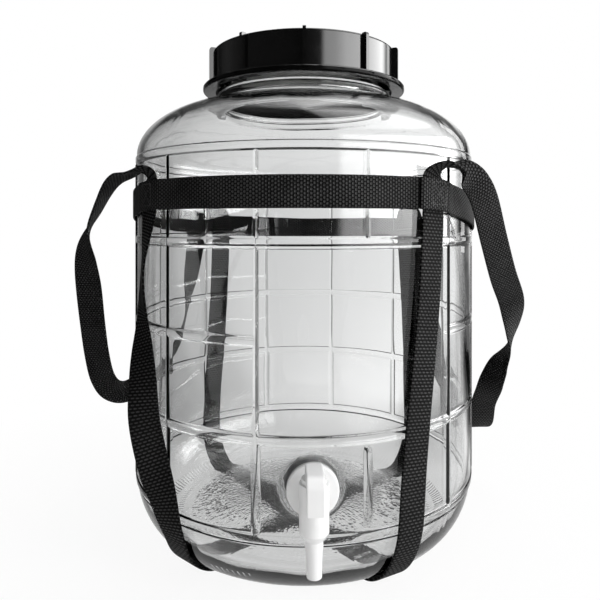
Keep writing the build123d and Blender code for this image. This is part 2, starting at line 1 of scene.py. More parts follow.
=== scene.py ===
"""Looks of the glass carboy: clear moulded jar, black screw lid, webbing harness and white spigot.

Metres, +Z up, spigot towards -Y. Azimuths are in degrees from the spigot (0) towards +X (90).
"""
import math
import bmesh
import bpy
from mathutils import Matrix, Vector


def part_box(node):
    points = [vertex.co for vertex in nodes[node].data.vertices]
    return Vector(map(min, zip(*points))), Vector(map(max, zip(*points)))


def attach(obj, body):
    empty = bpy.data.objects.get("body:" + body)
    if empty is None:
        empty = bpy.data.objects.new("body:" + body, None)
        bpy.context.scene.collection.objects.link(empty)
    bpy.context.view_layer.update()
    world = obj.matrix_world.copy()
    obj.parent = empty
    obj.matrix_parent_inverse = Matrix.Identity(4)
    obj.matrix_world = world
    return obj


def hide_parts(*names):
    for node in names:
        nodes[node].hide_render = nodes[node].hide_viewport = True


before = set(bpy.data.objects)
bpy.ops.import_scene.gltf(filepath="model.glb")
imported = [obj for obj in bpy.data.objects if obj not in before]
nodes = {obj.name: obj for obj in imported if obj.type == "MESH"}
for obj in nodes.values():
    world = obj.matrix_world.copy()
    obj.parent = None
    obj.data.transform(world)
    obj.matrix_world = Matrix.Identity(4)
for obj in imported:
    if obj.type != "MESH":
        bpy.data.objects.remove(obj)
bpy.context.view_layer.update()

# ---- Sizes and places, as in the CAD ----
MM = 0.001
RIB_PROUD, BAR_CREST, RIB_WIDTH = 0.9 * MM, 1.1 * MM, 7 * MM
jar_low, jar_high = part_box("jar")
BASE_Z, RIM_Z = jar_low.z, jar_high.z
JAR_R = jar_high.x - RIB_PROUD
WALL, BASE_T, PUSH_UP = 4 * MM, 7 * MM, 13 * MM
RING_OUT, RING_IN = 96 * MM, 88 * MM
HEEL_Z = BASE_Z + 48 * MM
SHOULDER_Z = BASE_Z + 280.8 * MM
SHOULDER_H, SHOULDER_RUN = 43.2 * MM, 76 * MM
SHOULDER_C = JAR_R - SHOULDER_RUN
NECK_R, NECK_WALL, NECK_ROOT = 67 * MM, 4.5 * MM, 5 * MM
BEAD_Z, BEAD_R, BEAD_PROUD = BASE_Z + 329 * MM, 3.4 * MM, 2.6 * MM
RING_LEVELS = [BASE_Z + (43 + 58.5 * i) * MM for i in range(5)]
FIRST_BAR, BAR_STEP = 15, 30
PANEL_FROM, PANEL_TO = -15, 45
SHORT_BAR = (RING_LEVELS[0] + 7.6 * MM, RING_LEVELS[1] - 4.2 * MM)
THREAD_Z, PITCH, THREAD_TURNS, THREAD_PROUD = RIM_Z - 16.25 * MM, 9 * MM, 1.25, 2.5 * MM
THREAD_HALF_W = 0.9 * MM
TAP_Z = BASE_Z + 74.5 * MM
SEAT_R, SEAT_Y, HOLE_R = 17.5 * MM, JAR_R + 0.6 * MM, 8.4 * MM
SEAT_BLEND = 1.2 * MM
WEB_W, WEB_T = 20 * MM, 1.6 * MM
WEB_R = JAR_R + 1.2 * MM
BELT_Z, BELT_DROP = BASE_Z + 249.1 * MM, 23.7 * MM
BELT_R = math.hypot(WEB_R + WEB_T, WEB_W / 2) + 0.1 * MM
CORNERS = FRONT_RIGHT, BACK_RIGHT, BACK_LEFT, FRONT_LEFT = 36.5, 129.0, -143.5, -53.5
BELT_STEP, BELT_RAMP = 5, 4.5  # degrees from a corner where the belt comes down to the wall
RUN_1, RUN_2 = (25.5, 224.0), (-41.5, 123.0)  # where the slings cross the standing ring
HOP_R, HOP_RUN = 38 * MM, 20 * MM
HANDLE_OUT, HANDLE_DROP = 40 * MM, 200 * MM


def polar(radius, azimuth, z=0.0):
    a = math.radians(azimuth)
    return Vector((radius * math.sin(a), -radius * math.cos(a), z))


def smooth(t):
    t = min(max(t, 0), 1)
    return t * t * (3 - 2 * t)


def catmull(points, per):
    """A smooth run through points, with per steps between neighbours."""
    out = []
    ends = [points[0] * 2 - points[1], *points, points[-1] * 2 - points[-2]]
    for a, b, c, d in zip(ends, ends[1:], ends[2:], ends[3:]):
        for i in range(per):
            t = i / per
            out.append(((b * 2) + (c - a) * t + (a * 2 - b * 5 + c * 4 - d) * t ** 2
                        + (b * 3 - a - c * 3 + d) * t ** 3) / 2)
    return [*out, points[-1]]


# ---- Materials ----
class Nodes:
    """A short hand for building nodes in one tree."""

    def __init__(self, owner):
        owner.use_nodes = True
        self.owner, self.tree = owner, owner.node_tree
        self.shader = self.tree.nodes.get("Principled BSDF")

    def add(self, kind, inputs=None, **settings):
        node = self.tree.nodes.new("ShaderNode" + kind)
        for key, value in settings.items():
            setattr(node, key, value)
        for key, value in (inputs or {}).items():
            self.set(node, key, value)
        return node

    def set(self, node, key, value):
        if isinstance(value, bpy.types.NodeSocket):
            self.tree.links.new(value, node.inputs[key])
        else:
            node.inputs[key].default_value = value

    def math(self, operation, a, b=0.0, c=0.0):
        return self.add("Math", {0: a, 1: b, 2: c}, operation=operation).outputs[0]

    def ramp(self, value, *stops):
        """A colour ramp from (position, grey or colour) stops."""
        node = self.add("ValToRGB", {0: value})
        band = node.color_ramp.elements
        while len(band) < len(stops):
            band.new(0.5)
        for element, (at, shade) in zip(band, stops):
            element.position = at
            element.color = (shade, shade, shade, 1) if isinstance(shade, float) else (*shade, 1)
        return node.outputs["Color"]

    def turn(self, x, y):
        """Direction round the jar as a share of a turn: 0 behind the camera, 0.25 left, 0.5 ahead."""
        return self.math("MULTIPLY_ADD", self.math("ARCTAN2", x, y), 1 / (2 * math.pi), 0.5)

    def either(self, a, b):
        return self.math("MAXIMUM", a, b)

    def place(self):
        return self.add("TexCoord").outputs["Object"]

    def noise(self, vector, scale, detail=2.0):
        return self.add("TexNoise", {"Vector": vector, "Scale": scale, "Detail": detail}).outputs["Fac"]

    def finish(self, bump=None, strength=0.2, distance=MM, **sockets):
        for key, value in sockets.items():
            self.set(self.shader, key.replace("_", " "), value)
        if bump is not None:
            node = self.add("Bump", {"Height": bump, "Strength": strength, "Distance": distance})
            self.set(self.shader, "Normal", node.outputs[0])
        return self.owner


STIPPLE_STEP, KNURLS = 3.4 * MM, 180.0


def glass_material():
    """Clear moulded glass, slightly wavy, with a stippled base and a knurled band on the heel."""
    n = Nodes(bpy.data.materials.new("moulded_glass"))
    place = n.place()
    split = n.add("SeparateXYZ", {0: place})
    x, y, z = split.outputs
    around = n.math("ARCTAN2", x, y)
    radius = n.math("SQRT", n.math("ADD", n.math("MULTIPLY", x, x), n.math("MULTIPLY", y, y)))
    # stippling on the underside, laid in rings, and a knurled standing ring
    cells = n.add("CombineXYZ", {0: n.math("DIVIDE", radius, STIPPLE_STEP),
                                 1: n.math("MULTIPLY", around, 26.0)})
    stipple = n.math("MULTIPLY", n.add("TexVoronoi", {"Vector": cells.outputs[0], "Scale": 1.0,
                                                      "Randomness": 0.55}).outputs["Distance"], -2.2)
    inside_ring = n.math("LESS_THAN", radius, RING_IN)
    low = n.math("LESS_THAN", z, BASE_Z + PUSH_UP + 1.5 * MM)
    off_band = n.math("ABSOLUTE", n.math("SUBTRACT", z, BASE_Z + 5 * MM))
    knurl = n.math("MULTIPLY", n.math("SINE", n.math("MULTIPLY", around, KNURLS)),
                   n.math("LESS_THAN", off_band, 2.5 * MM))
    marks = n.math("ADD", n.math("MULTIPLY", n.math("MULTIPLY", stipple, inside_ring), low),
                   n.math("MULTIPLY", n.math("MULTIPLY", knurl, n.math("GREATER_THAN", radius, RING_OUT)),
                          0.5))
    waves = n.math("MULTIPLY", n.noise(place, 22.0, 1.0), 2.4)
    return n.finish(n.math("ADD", marks, waves), strength=0.45, distance=0.5 * MM,
                    Base_Color=n.ramp(n.noise(place, 6.0), (0.3, (0.975, 0.98, 0.98)),
                                      (0.7, (0.99, 0.993, 0.992))),
                    Transmission_Weight=1.0, IOR=1.5, Roughness=0.0)


def webbing_material(name, wide, tall, flat, highlight_grey):
    """Woven polypropylene: rows of small oval floats, each row half a float along from the last.

    A higher flat narrows each float's lighter crest, a painted highlight, to a thinner line.
    """
    n = Nodes(bpy.data.materials.new(name))
    across, along, _ = n.add("SeparateXYZ", {0: n.add("UVMap", uv_map="weave").outputs[0]}).outputs
    row = n.math("DIVIDE", along, tall)
    shift = n.math("MULTIPLY", n.math("FLOOR", row), 0.5)
    pick = n.math("FRACT", n.math("ADD", n.math("DIVIDE", across, wide), shift))
    ridge = n.math("SINE", n.math("MULTIPLY", n.math("FRACT", row), math.pi))
    floats = n.math("MULTIPLY", n.math("SINE", n.math("MULTIPLY", pick, math.pi)),
                    n.math("POWER", ridge, flat))
    fuzz = n.noise(n.place(), 1400.0, 3.0)
    wear = n.noise(n.place(), 45.0, 3.0)
    crest_highlight = n.math("MULTIPLY", n.math("MINIMUM", n.math("MULTIPLY", floats, 1.7), 1.0),
                  n.math("ADD", fuzz, wear))
    return n.finish(n.math("ADD", floats, n.math("MULTIPLY", fuzz, 0.25)), strength=1.0,
                    distance=0.5 * MM,
                    # Black weave with the float crests painted a lighter grey: a painted highlight, made
                    # patchy by the noise.
                    Base_Color=n.ramp(crest_highlight, (0.2, 0.0005), (0.6, 0.15 * highlight_grey), (1.0, highlight_grey)),
                    Roughness=n.ramp(crest_highlight, (0.3, 0.8), (0.9, 0.5)), Specular_IOR_Level=0.2)


def plastic_material(name, low, high, roughness, grain, scuff=0.0, coat=0.0, rim=0.0):
    """Moulded plastic: a faint cloud in the colour, fine grain and light handling marks.

    rim is the share of the height, from below, over which the moulding is matt.
    """
    n = Nodes(bpy.data.materials.new(name))
    place = n.place()
    cloud = n.noise(place, 30.0, 3.0)
    fine = n.noise(place, 1500.0, 2.0)
    marks = n.ramp(n.noise(place, 120.0, 6.0), (0.45, 0.0), (0.75, scuff))
    gloss = {"Coat_Weight": coat}
    if rim:
        height = n.add("SeparateXYZ", {0: n.add("TexCoord").outputs["Generated"]}).outputs[2]
        polished = n.math("GREATER_THAN", height, rim)
        gloss = {"Coat_Weight": n.math("MULTIPLY", polished, coat),
                 "Specular_IOR_Level": n.math("MULTIPLY_ADD", polished, 0.42, 0.08)}
    return n.finish(n.math("ADD", fine, n.math("MULTIPLY", cloud, 0.4)), strength=grain,
                    distance=0.1 * MM,
                    Base_Color=n.ramp(cloud, (0.3, low), (0.7, high)),
                    Roughness=n.math("ADD", marks, roughness), Coat_Roughness=0.08, **gloss)


GLASS = glass_material()
WEBBING = webbing_material("black_webbing", 2.4 * MM, 1.9 * MM, 1.0, 0.034)
SLING_WEBBING = webbing_material("sling_webbing", 3.3 * MM, 2.1 * MM, 3.0, 0.034)
LID_BLACK = plastic_material("lid_black", (0.002, 0.002, 0.002), (0.004, 0.004, 0.004), 0.09, 0.06,
                             scuff=0.08, coat=0.7, rim=0.09)
TAP_WHITE = plastic_material("tap_white", (0.86, 0.86, 0.86), (0.9, 0.9, 0.895), 0.28, 0.15, scuff=0.08)
# The seal is white foam. Its mid grey here is painted shade for the dark underside of the lid, seen up
# through the neck.
SEAL_PAINTED_SHADE = plastic_material("seal_white", (0.4, 0.4, 0.39), (0.48, 0.48, 0.47), 0.5, 0.3)
RUBBER = plastic_material("washer_rubber", (0.5, 0.5, 0.5), (0.6, 0.6, 0.6), 0.5, 0.4)
THREAD_BLACK = plastic_material("stitch_thread", (0.02, 0.02, 0.02), (0.045, 0.045, 0.045), 0.5, 0.3)


# ---- Building pieces ----
def piece(name, verts, faces, material, uvs=None):
    """One visible mesh that rides with the carboy."""
    mesh = bpy.data.meshes.new(name)
    mesh.from_pydata([tuple(v) for v in verts], [], faces)
    if uvs:
        layer = mesh.uv_layers.new(name="weave")
        for loop in mesh.loops:
            layer.data[loop.index].uv = uvs[loop.vertex_index]
    mesh.validate()
    mesh.materials.append(material)
    mesh.shade_smooth()
    obj = bpy.data.objects.new(name, mesh)
    bpy.context.collection.objects.link(obj)
    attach(obj, "carboy")
    return obj


# ---- Glass jar ----
def arc(centre, run, rise, start, end, steps):
    """Points of an ellipse's arc in the section, from start to end degrees."""
    return [(centre[0] + run * math.cos(math.radians(start + (end - start) * i / steps)),
             centre[1] + rise * math.sin(math.radians(start + (end - start) * i / steps)))
            for i in range(steps + 1)]


def dome(half, rise, z, steps):
    """Points of the shallow dome from its middle to its edge, without the middle itself."""
    radius = (half ** 2 + rise ** 2) / (2 * rise)
    return [(half * i / steps, z + rise - radius + math.sqrt(radius ** 2 - (half * i / steps) ** 2))
            for i in range(1, steps + 1)]


def rows_between(low, high, step):
    """Even heights from low up to, and without, high."""
    count = max(1, round((high - low) / step))
    return [low + (high - low) * i / count for i in range(count)]


# Distances from a level rib's middle, in mm, at which the mesh has a row
RIB_ROWS = (-3.5, -3.1, -2.8, -2.5, -2.2, -1.8, 0, 1.8, 2.2, 2.5, 2.8, 3.1, 3.5)


def wall_heights():
    """Heights of the lattice's rows on the straight wall: close over ribs and the tap's seat."""
    rib = [offset * MM for offset in (-4.2, *RIB_ROWS, 4.2)]
    heights, at = [], HEEL_Z
    seat_low, seat_high = TAP_Z - SEAT_R - 2 * MM, TAP_Z + SEAT_R + 2 * MM
    for level in RING_LEVELS[1:]:
        foot = level + rib[0]
        if at < seat_low:
            heights += rows_between(at, seat_low, 4 * MM)
            heights += rows_between(seat_low, min(seat_high, foot), 1.6 * MM)
            at = min(seat_high, foot)
        heights += rows_between(at, foot, 9 * MM) if foot - at > 2 * MM else []
        heights += [level + r for r in rib]
        at = level + rib[-1] + MM
    return [h for h in heights if h < SHOULDER_Z + 0.1 * MM]


def outer_section():
    """The outside of the glass, from the middle of the base up to the rim."""
    heel = arc((RING_OUT, HEEL_Z), JAR_R - RING_OUT, HEEL_Z - BASE_Z, 270, 350, 40)
    for offset in RIB_ROWS:
        z = RING_LEVELS[0] + offset * MM
        share = math.sqrt(1 - ((HEEL_Z - z) / (HEEL_Z - BASE_Z)) ** 2)
        heel.append((RING_OUT + (JAR_R - RING_OUT) * share, z))
    heel.append((JAR_R, HEEL_Z))
    neck_foot = math.degrees(math.acos((NECK_R + NECK_ROOT - SHOULDER_C) / (SHOULDER_RUN + NECK_ROOT)))
    root = (NECK_R + NECK_ROOT, SHOULDER_Z + (SHOULDER_H + NECK_ROOT) * math.sin(math.radians(neck_foot)))
    shoulder = arc((SHOULDER_C, SHOULDER_Z), SHOULDER_RUN, SHOULDER_H, 0, neck_foot, 40)
    bead = arc((NECK_R + BEAD_PROUD - BEAD_R, BEAD_Z), BEAD_R, BEAD_R, -76, 76, 12)
    lip = NECK_WALL / 3
    return (dome(RING_IN, PUSH_UP, BASE_Z, 22)
            + [(RING_IN + 1.5 * MM, BASE_Z), (RING_OUT - 2 * MM, BASE_Z)]
            + heel + [(JAR_R, z) for z in wall_heights()]
            + shoulder[:-1]
            + arc(root, NECK_ROOT, NECK_ROOT, 270 - 12, 180, 6)
            + bead
            + [(NECK_R, z) for z in rows_between(BEAD_Z + 4.2 * MM, THREAD_Z - 3 * MM, 3 * MM)]
            + [(NECK_R, z) for z in rows_between(THREAD_Z - 3 * MM, RIM_Z - lip - 0.3 * MM, 0.7 * MM)]
            + arc((NECK_R - lip, RIM_Z - lip), lip, lip, 0, 90, 4))


def inner_section():
    """The inside of the glass, from the rim down to the middle of the floor."""
    lip = NECK_WALL / 3
    bore = NECK_R - NECK_WALL
    foot = math.degrees(math.acos((bore - SHOULDER_C) / (SHOULDER_RUN - WALL)))
    shoulder = arc((SHOULDER_C, SHOULDER_Z), SHOULDER_RUN - WALL, SHOULDER_H - WALL, foot - 2, 0, 22)
    heel = arc((RING_OUT, HEEL_Z), JAR_R - WALL - RING_OUT, HEEL_Z - BASE_Z - BASE_T, 360, 270, 16)
    wall_top, wall_low = SHOULDER_Z - 8 * MM, HEEL_Z + 8 * MM
    floor = dome(RING_OUT, PUSH_UP, BASE_Z + BASE_T, 10)
    return (arc((bore + lip, RIM_Z - lip), lip, lip, 90, 180, 4)
            + [(bore, z) for z in (RIM_Z - 8 * MM, RIM_Z - 20 * MM, shoulder[0][1] + 5 * MM)]
            + shoulder
            + [(JAR_R - WALL, wall_top + (wall_low - wall_top) * i / 12) for i in range(13)]
            + heel[:-1] + list(reversed(floor)))


def rib_height(azimuth, z):
    """How far the moulded grid stands out of the wall."""
    def swell(offset, flat=1.8 * MM, foot=3.5 * MM):
        return 1 - smooth((abs(offset) - flat) / (foot - flat))

    low_row = 1 - smooth((z - RING_LEVELS[1]) / (10 * MM))

    def narrow(offset):
        """Peaked ribs above, broader and rounder ones in the lowest row."""
        across = min(abs(offset) / ((1.9 + 1.0 * low_row) * MM), 1)
        return (1 - across ** (1 + low_row)) ** (1.6 - 0.6 * low_row)

    in_panel = PANEL_FROM < azimuth < PANEL_TO
    ring = max(swell(z - ring_z) for level, ring_z in enumerate(RING_LEVELS)
               if level != 2 or not in_panel)
    nearest = FIRST_BAR + BAR_STEP * round((azimuth - FIRST_BAR) / BAR_STEP)
    off = JAR_R * math.radians(azimuth - nearest)
    bar = narrow(off)
    spans = [(RING_LEVELS[0], RING_LEVELS[-1])]
    if in_panel and abs(nearest - FIRST_BAR) < 1:
        spans = [SHORT_BAR, (RING_LEVELS[-2], RING_LEVELS[-1])]
    ends = 0.0
    for low, high in spans:
        beyond = max(low + RIB_WIDTH / 2 - z, z - high + RIB_WIDTH / 2, 0)
        ends = max(ends, narrow(math.hypot(off, beyond)) if beyond else bar)
    return max(RIB_PROUD * ring, BAR_CREST * ends)


def thread_height(azimuth, z):
    """The helical thread on the neck, as a rise above the neck's wall."""
    rise = 0.0
    for turn in (0, 1):
        share = (azimuth % 360) / 360 + turn
        if share <= THREAD_TURNS:
            fade = smooth(min(share, THREAD_TURNS - share) * 14)
            off = abs(z - THREAD_Z - share * PITCH)
            rise = max(rise, fade * (1 - smooth((off - THREAD_HALF_W) / THREAD_HALF_W)))
    return THREAD_PROUD * rise


# Distances from an upright rib's middle, in mm, at which the mesh has a line
BAR_LINES = (0.25, 0.5, 0.8, 1.1, 1.5, 1.9, 2.3, 2.6, 2.9, 3.3)


def azimuth_lines():
    mm_to_degree = math.degrees(MM / JAR_R)
    lines = []
    for i in range(12):
        bar = FIRST_BAR + BAR_STEP * i
        lines += [bar + side * d * mm_to_degree for side, d in
                  [(-1, d) for d in reversed(BAR_LINES)] + [(0, 0)] + [(1, d) for d in BAR_LINES]]
        gap_from, gap_to = (bar + BAR_LINES[-1] * mm_to_degree,
                            bar + BAR_STEP - BAR_LINES[-1] * mm_to_degree)
        count = 34 if i == 11 else 8
        lines += [gap_from + (gap_to - gap_from) * k / count for k in range(1, count)]
    return lines


def build_jar():
    outer, inner = outer_section(), inner_section()
    lines = azimuth_lines()
    verts, faces = [], []
    for row, (r, z) in enumerate(outer + inner):
        on_outside = row < len(outer)
        for azimuth in lines:
            a = (azimuth + 180) % 360 - 180
            radius = r
            if on_outside and r > JAR_R - 4 * MM and z < SHOULDER_Z + 6 * MM:
                radius += rib_height(a, z)
            if on_outside and r == NECK_R and z > BEAD_Z:
                radius += thread_height(a, z)
            point = polar(radius, a, z)
            reach = math.hypot(point.x, point.z - TAP_Z)
            if on_outside and point.y < 0 and reach < SEAT_R + SEAT_BLEND:
                flat = 1 - smooth((reach - SEAT_R + SEAT_BLEND / 2) / (1.5 * SEAT_BLEND))
                point.y += (-SEAT_Y - point.y) * flat
            verts.append(point)
    count = len(lines)
    for row in range(len(outer) + len(inner) - 1):
        for k in range(count):
            m = (k + 1) % count
            faces.append((row * count + k, row * count + m, (row + 1) * count + m, (row + 1) * count + k))
    last = (len(outer) + len(inner) - 1) * count
    verts += [Vector((0, 0, BASE_Z + PUSH_UP)), Vector((0, 0, BASE_Z + BASE_T + PUSH_UP))]
    for k in range(count):
        m = (k + 1) % count
        faces.append((k, len(verts) - 2, m))
        faces.append((last + k, last + m, len(verts) - 1))
    jar = piece("glass_jar", verts, faces, GLASS)
    bm = bmesh.new()
    bm.from_mesh(jar.data)
    bmesh.ops.recalc_face_normals(bm, faces=bm.faces)
    bm.to_mesh(jar.data)
    bm.free()
    cut_hole(jar)
    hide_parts("jar")
    return jar


def cut_hole(jar):
    """The spigot's hole through the flat seat."""
    bpy.ops.mesh.primitive_cylinder_add(vertices=64, radius=HOLE_R, depth=14 * MM,
                                        location=(0, -JAR_R + 2 * MM, TAP_Z),
                                        rotation=(math.pi / 2, 0, 0))
    drill = bpy.context.object
    cut = jar.modifiers.new("hole", "BOOLEAN")
    cut.operation, cut.object, cut.solver = "DIFFERENCE", drill, "EXACT"
    bpy.context.view_layer.update()
    bpy.context.view_layer.objects.active = jar
    bpy.ops.object.modifier_apply(modifier=cut.name)
    bpy.data.objects.remove(drill)
    jar.data.shade_smooth()


build_jar()


# ---- Webbing ----
EDGE = [(-1.0, 0.0), (-0.985, 0.6), (-0.94, 0.92), (-0.82, 1.0), (-0.4, 1.0), (0.0, 1.0), (0.4, 1.0),
        (0.82, 1.0), (0.94, 0.92), (0.985, 0.6), (1.0, 0.0)]
SECTION = EDGE + [(u, -h) for u, h in reversed(EDGE[1:-1])]


def strip(name, path, replaced, material=WEBBING):
    """A woven strip along (centre, width direction) stations, with thin rounded selvedges."""
    verts, faces, uvs = [], [], []
    run = 0.0
    size = len(SECTION)
    for i, (centre, across) in enumerate(path):
        before, after = path[max(i - 1, 0)][0], path[min(i + 1, len(path) - 1)][0]
        heading = (after - before).normalized()
        across = (across - heading * across.dot(heading)).normalized()
        out = heading.cross(across)
        run += (centre - path[i - 1][0]).length if i else 0.0
        for u, h in SECTION:
            verts.append(centre + across * (u * WEB_W / 2) + out * (h * WEB_T / 2))
            uvs.append((u * WEB_W / 2, run))
    for i in range(len(path) - 1):
        for k in range(size):
            m = (k + 1) % size
            faces.append((i * size + k, i * size + m, (i + 1) * size + m, (i + 1) * size + k))
    faces.append(tuple(reversed(range(size))))
    faces.append(tuple(range((len(path) - 1) * size, len(path) * size)))
    strap = piece(name, verts, faces, material, uvs=uvs)
    if replaced:
        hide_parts(replaced)
    return strap


def level(azimuth):
    return Vector((math.cos(math.radians(azimuth)), math.sin(math.radians(azimuth)), 0))


def up(share):
    return HEEL_Z + share * (BELT_Z - HEEL_Z)


def reading(places, x):
    """Smooth reading at x of (x, azimuth, standoff, turn) places."""
    spots = [Vector(place[1:]) for place in places]
    if x <= places[0][0]:
        return spots[0]
    for i in range(len(places) - 1):
        x0, x1 = places[i][0], places[i + 1][0]
        if x <= x1:
            a, b = max(i - 1, 0), min(i + 2, len(places) - 1)
            slope_0 = (spots[i + 1] - spots[a]) * ((x1 - x0) / (x1 - places[a][0]))
            slope_1 = (spots[b] - spots[i]) * ((x1 - x0) / (places[b][0] - x0))
            t = (x - x0) / (x1 - x0)
            return (spots[i] * (2 * t ** 3 - 3 * t ** 2 + 1) + slope_0 * (t ** 3 - 2 * t ** 2 + t)
                    + spots[i + 1] * (3 * t ** 2 - 2 * t ** 3) + slope_1 * (t ** 3 - t ** 2))
    return spots[-1]


MID_R = WEB_R + WEB_T / 2
HEEL_C = RING_OUT + WEB_R - JAR_R
HEEL_RUN, HEEL_RISE = JAR_R - RING_OUT + WEB_T / 2, HEEL_Z - BASE_Z + WEB_T / 2


def upright(places, top):
    """Stations up the heel and the wall, from (height, azimuth, standoff, turn) places.

    turn swings the strap out of the wall's plane about its own line, in degrees.
    """
    rows = arc((HEEL_C, HEEL_Z), HEEL_RUN, HEEL_RISE, 276, 360, 24)
    count = round((top - HEEL_Z) / (3 * MM))
    rows += [(MID_R, HEEL_Z + (top - HEEL_Z) * i / count) for i in range(1, count + 1)]
    stations = []
    for radius, z in rows:
        azimuth, off, turn = reading(places, z)
        stations.append((polar(radius + off, azimuth, z), level(azimuth + turn)))
    return stations


def sling(name, run, front, back, back_top, hop):
    """One sling: up the front, straight under the base and up the back.

    run gives the azimuths at which it crosses the standing ring in front and at the back.
    """
    first, last = (polar(RING_OUT, azimuth) for azimuth in run)
    heading = (last - first).normalized()
    side = heading.cross(Vector((0, 0, 1)))
    flat = []
    for i in range(41):
        point = first.lerp(last, i / 40)
        radius = point.length
        ride = hop * (1 - min(max((radius - HOP_R) / HOP_RUN, 0), 1))
        flat.append((point + Vector((0, 0, BASE_Z - WEB_T / 2 + ride)), side))
    down = list(reversed(upright(front, BELT_Z)))
    rise = [(point, -across) for point, across in upright(back, back_top)]
    return strip("web_" + name, down + flat + rise, name, SLING_WEBBING)


sling("sling_1", RUN_1,
      [(BASE_Z, 25.6, 0, 0), (BASE_Z + 6 * MM, 26.6, 0, 0), (HEEL_Z, 28.0, 0, 0), (up(0.15), 29, 0, 0),
       (up(0.32), 30.7, 0, 0), (up(0.5), 32.8, 0, 0), (up(0.7), 34.8, 0, 0), (BELT_Z, FRONT_RIGHT, 0, 0)],
      [(BASE_Z, 223.9, 0, 0), (BASE_Z + 6 * MM, 223, 0, 0), (HEEL_Z, 221.5, 0, 0), (up(0.3), 219.5, 0, 0),
       (up(0.6), 217.5, 0, 0), (BELT_Z - BELT_DROP, BACK_LEFT + 360, 0, 0)],
      BELT_Z - BELT_DROP, 0)
sling("sling_2", RUN_2,
      [(BASE_Z, -42.3, 0, 0), (BASE_Z + 6 * MM, -43.6, 0, 0), (BASE_Z + 28 * MM, -42, 0.5 * MM, 4),
       (BASE_Z + 50 * MM, -43.2, 3 * MM, 20), (BASE_Z + 74 * MM, -45.6, 7 * MM, 50),
       (BASE_Z + 102 * MM, -50.1, 8 * MM, 57), (BASE_Z + 126 * MM, -52.3, 6.5 * MM, 35),
       (BASE_Z + 142 * MM, -55.1, 4 * MM, 21), (BASE_Z + 165 * MM, -58.4, 1 * MM, 0),
       (BASE_Z + 200 * MM, -56.2, 2.5 * MM, -18), (BASE_Z + 236 * MM, -54.3, 0, 0),
       (BELT_Z, FRONT_LEFT, 0, 0)],
      [(BASE_Z, 123.1, 0, 0), (BASE_Z + 6 * MM, 123.8, 0, 0), (HEEL_Z, 125, 0, 0), (up(0.3), 125.7, 0, 0),
       (up(0.6), 127.2, 0, 0), (BELT_Z - BELT_DROP, BACK_RIGHT, 0, 0)],
      BELT_Z - BELT_DROP, WEB_T)


def belt_radius(azimuth):
    """Distance of the belt's inner face from the axis: raised where it covers an upright."""
    off = min(abs((azimuth - corner + 180) % 360 - 180) for corner in CORNERS)
    return BELT_R + (WEB_R - BELT_R) * smooth((off - BELT_STEP) / BELT_RAMP)


def belt_rise(azimuth):
    """How much lower the belt runs towards the back."""
    right = [(0, 0), (36, 0), (72, -0.53), (98, -0.83), (127, -1), (180, -1)]
    left = [(0, 0), (53, 0), (76, -0.2), (108, -0.6), (144, -0.87), (180, -1)]
    a = (azimuth + 180) % 360 - 180
    places = right if a > 0 else left
    for (x0, v0), (x1, v1) in zip(places, places[1:]):
        if abs(a) <= x1:
            return BELT_DROP * (v0 + (v1 - v0) * (abs(a) - x0) / (x1 - x0))
    return -BELT_DROP


def belt_stations(first, last, lift=0.0, step=1.0):
    count = round((last - first) / step)
    stations = []
    for i in range(count + 1):
        a = first + (last - first) * i / count
        height = sum(belt_rise(a + d) for d in (-6, -3, 0, 3, 6)) / 5
        stations.append((polar(belt_radius(a) + WEB_T / 2 + lift, a, BELT_Z + height), Vector((0, 0, 1))))
    return stations


strip("web_belt", belt_stations(FRONT_RIGHT + 3.6, FRONT_RIGHT + 363.4), "belt")
strip("web_belt_tab", belt_stations(FRONT_RIGHT - 6.6, FRONT_RIGHT + 3.8, lift=WEB_T), None)

SEWN = (WEB_R + WEB_T / 2 - JAR_R) / HANDLE_OUT
HANDLE_END, HANDLE_CLEAR = 0.3 * MM / HANDLE_DROP, (WEB_W / 2 + MM) / HANDLE_DROP
BACK_END, BACK_CLEAR = (rise - BELT_DROP / HANDLE_DROP for rise in (HANDLE_END, HANDLE_CLEAR))
RIGHT_STATIONS = [
    (FRONT_RIGHT, SEWN, HANDLE_END, level(FRONT_RIGHT)),
    (FRONT_RIGHT, SEWN, HANDLE_CLEAR, level(FRONT_RIGHT)),
    (38.5, SEWN + 0.1, 0.083, (0.55, 0.8, 0)), (42.5, 0.23, 0.085, (0.15, 0.95, 0.17)),
    (45.5, 0.3, 0.068, (0.78, 0.48, 0.32)), (49, 0.375, 0.037, (0.93, 0.25, 0.22)),
    (53, 0.425, -0.02, (0.95, 0.25, 0.15)),
    (61.7, 0.45, -0.15, (0.97, 0.15, 0.2)), (70.6, 0.575, -0.285, (0.97, 0.05, 0.2)),
    (79.5, 0.8, -0.4, (1, 0.1, 0.1)), (84, 0.9, -0.51, (0.73, 0.68, 0)),
    (87, 0.9, -0.595, (0.24, 0.97, 0)), (89, 0.738, -0.67, (-0.4, 0.9, 0)),
    (91, 0.662, -0.73, (-0.65, 0.76, 0)), (93.5, 0.625, -0.795, (-0.9, 0.4, 0)),
    (97, 0.625, -0.865, (-0.95, 0.3, 0)), (101, 0.725, -0.965, (-1, 0, 0)),
    (105, 0.725, -0.99, (-1, 0, 0)), (109, 0.65, -0.94, (-1, 0.1, 0)),
    (112, 0.575, -0.84, (-1, 0.1, 0)), (116.5, 0.475, -0.715, (-0.95, 0.3, 0)),
    (121, 0.4, -0.56, (-0.9, 0.45, 0)), (124.5, 0.35, -0.375, (-0.75, 0.65, 0)),
    (126.5, 0.35, -0.19, (-0.65, 0.75, 0)), (127.5, 0.312, -0.07, (-0.65, 0.75, 0)),
    (128.5, SEWN + 0.12, BACK_CLEAR + 0.04, level(BACK_RIGHT)),
    (BACK_RIGHT, SEWN, BACK_CLEAR, level(BACK_RIGHT)), (BACK_RIGHT, SEWN, BACK_END, level(BACK_RIGHT))]
